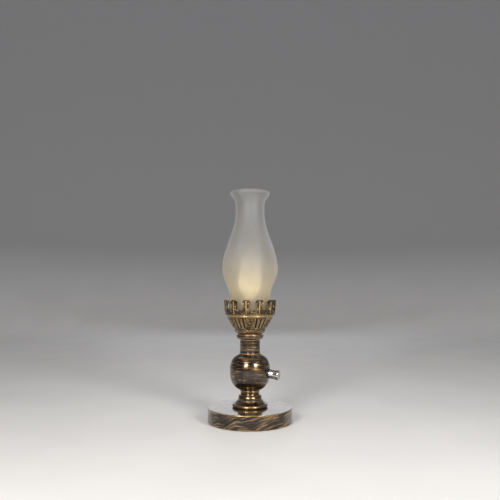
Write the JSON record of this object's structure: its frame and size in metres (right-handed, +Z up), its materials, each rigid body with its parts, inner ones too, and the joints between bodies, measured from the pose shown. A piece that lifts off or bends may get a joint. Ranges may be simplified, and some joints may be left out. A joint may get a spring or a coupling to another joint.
{
  "type": "table lamp",
  "caption": "Electric table lamp in oil-lamp style: weighted round base, ball with rotary dimmer knob, pronged gallery, frosted glass chimney.",
  "frame": {"origin": "centre of the face that the lamp stands on, on the lamp's axis, at the table's surface", "axes": "+Z up along the lamp's axis, -Y to the front, knob to +X and a little to the front, cord inlet at +Y"},
  "size_m": [0.125, 0.1265, 0.3433],
  "materials": {
    "felt": "dense black felt",
    "zinc_steel": "bright zinc plate",
    "cast_weight": "rough as cast",
    "bronze_lacquer": "dark brown lacquer with dry-brushed gold streaks, glossy",
    "antique_brass": "antiqued, dark recesses and rubbed gold highlights",
    "frosted_glass": "acid-frosted, satin",
    "black_plastic": "moulded phenolic, semi-gloss",
    "pale_plastic": "moulded nylon",
    "steatite": "unglazed steatite",
    "brass": "turned and pressed brass",
    "steel_shaft": "turned steel",
    "grub_screw": "blackened steel",
    "chrome": "polished chrome plate",
    "circuit_board": "green solder mask",
    "bulb_opal": "opal bulb glass, lit, emissive",
    "bulb_metal": "drawn nickel-plated shell",
    "bulb_black_glass": "black vitrite",
    "bulb_clear_glass": "clear",
    "filament_wire": "tungsten, glowing, emissive",
    "lead_blue": "PVC insulation",
    "lead_brown": "PVC insulation",
    "lead_black": "PVC insulation"
  },
  "bodies": {
    "lamp": {"felt_pad": "felt", "bottom_plate": "zinc_steel", "bottom_screws": "zinc_steel", "block_screw": "zinc_steel", "rod_nuts": "zinc_steel", "rod_washers": "zinc_steel", "dimmer_nut": "zinc_steel", "base_weight": "cast_weight", "base_shell": "bronze_lacquer", "bell_foot": "bronze_lacquer", "spacer_ring": "bronze_lacquer", "ball_shell": "bronze_lacquer", "neck_cup": "bronze_lacquer", "collar_ring": "bronze_lacquer", "gallery_cup": "antique_brass", "gallery_crown": "antique_brass", "cord_bush": "black_plastic", "holder_base": "black_plastic", "holder_barrel": "black_plastic", "dimmer_housing": "black_plastic", "dimmer_cover": "black_plastic", "dimmer_saddle": "black_plastic", "terminal_block": "pale_plastic", "holder_core": "steatite", "threaded_rod": "brass", "terminal_screws": "brass", "holder_terminals": "brass", "holder_screw_shell": "brass", "holder_contact": "brass", "dimmer_bushing": "brass", "dimmer_board": "circuit_board", "lead_neutral": "lead_blue", "lead_supply": "lead_brown", "lead_switched": "lead_black"},
    "dial": {"dimmer_knob": "chrome", "dimmer_shaft": "steel_shaft", "dimmer_wiper": "brass", "knob_screw": "grub_screw"},
    "bulb": {"bulb_glass": "bulb_opal", "bulb_cap": "bulb_metal", "bulb_insulator": "bulb_black_glass", "bulb_contact": "bulb_metal", "bulb_stem": "bulb_clear_glass", "bulb_filament": "filament_wire"},
    "chimney": {"chimney": "frosted_glass"}
  },
  "joints": [
    {"name": "dimmer_turn", "type": "hinge", "parent": "lamp", "child": "dial", "pos_m": [0.03544, -0.0129, 0.06947], "axis": [0.9327, -0.3395, -0.1219], "range_deg": [-190, 90]},
    {"name": "bulb_draw", "type": "slide", "parent": "lamp", "child": "bulb", "axis": [0, 0, 1], "range_m": [0, 0.06]},
    {"name": "chimney_lift", "type": "slide", "parent": "lamp", "child": "chimney", "axis": [0, 0, 1], "range_m": [0, 0.12]}
  ]
}
